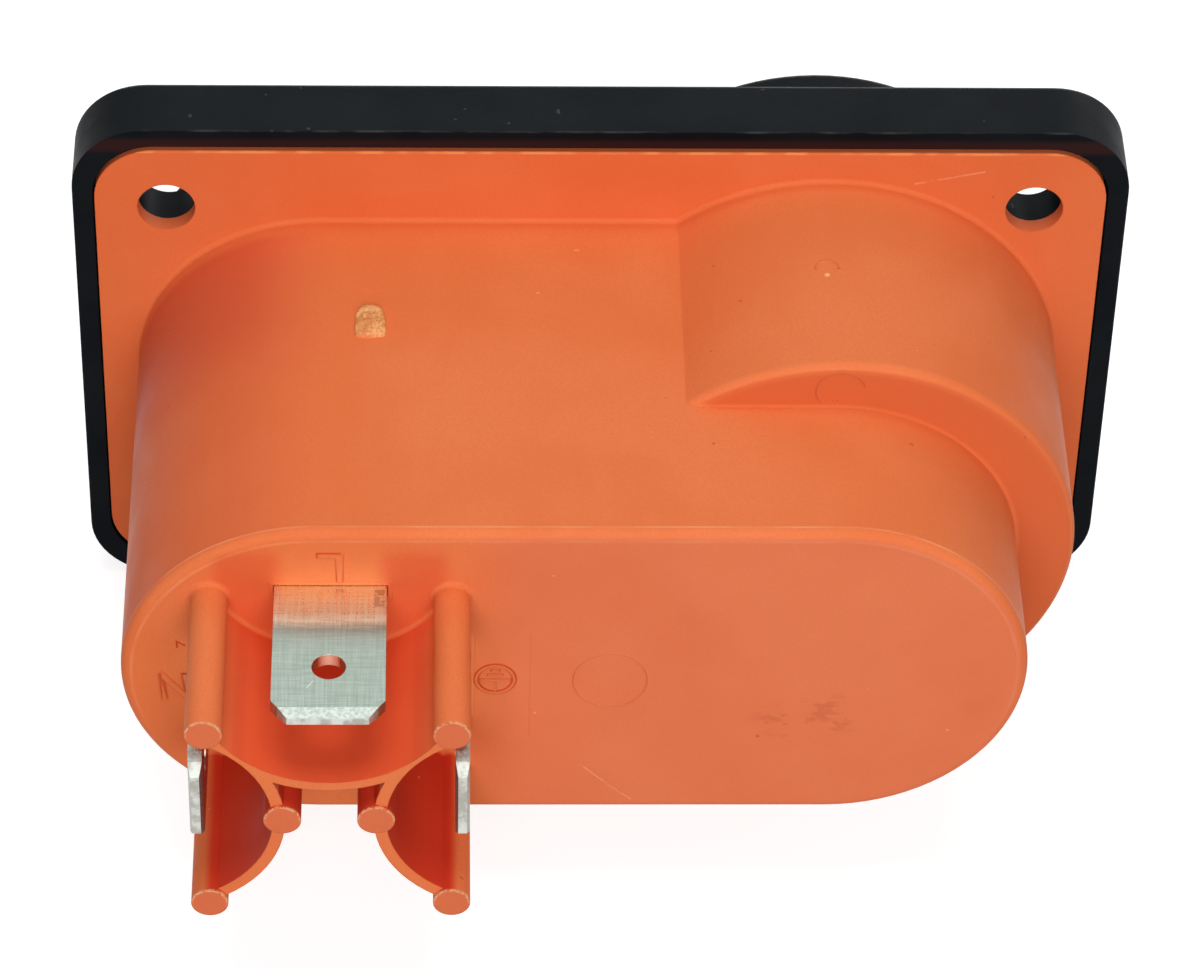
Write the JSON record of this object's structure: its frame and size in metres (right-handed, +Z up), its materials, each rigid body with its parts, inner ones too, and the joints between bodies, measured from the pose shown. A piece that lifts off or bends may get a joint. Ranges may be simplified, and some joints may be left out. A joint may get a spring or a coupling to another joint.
{
  "type": "power chassis connector",
  "caption": "Panel-mount mains power connector with a male inlet and a female locking outlet side by side, moulded rear housing and push-on tabs.",
  "frame": {"origin": "centre of the four fixing holes, on the face of the front plate that meets the panel", "axes": "+X towards the inlet side, across the plate; +Y from the panel face towards the rear body and its tabs; +Z up, towards the line tab"},
  "size_m": [0.0622, 0.049, 0.0358],
  "materials": {
    "black_plastic": "satin moulded",
    "orange_plastic": "satin moulded",
    "grey_plastic": "satin moulded",
    "tinned_brass": "tin plated",
    "contact_copper": "bare copper alloy",
    "spring_steel": "bright spring steel",
    "seal_rubber": "matt rubber"
  },
  "bodies": {
    "root": {"front_bezel": "black_plastic", "rear_housing": "orange_plastic", "body_seal": "seal_rubber", "inlet_carrier": "grey_plastic", "outlet_core": "grey_plastic", "inlet_blade_line": "tinned_brass", "inlet_blade_neutral": "tinned_brass", "inlet_blade_earth": "tinned_brass", "busbar_line": "tinned_brass", "busbar_neutral": "tinned_brass", "busbar_earth": "tinned_brass", "outlet_contact_line": "contact_copper", "outlet_contact_neutral": "contact_copper", "outlet_contact_earth": "contact_copper", "grip_spring_line": "spring_steel", "grip_spring_neutral": "spring_steel", "grip_spring_earth": "spring_steel", "inlet_rivets": "contact_copper", "outlet_rivets": "contact_copper"}
  },
  "joints": []
}
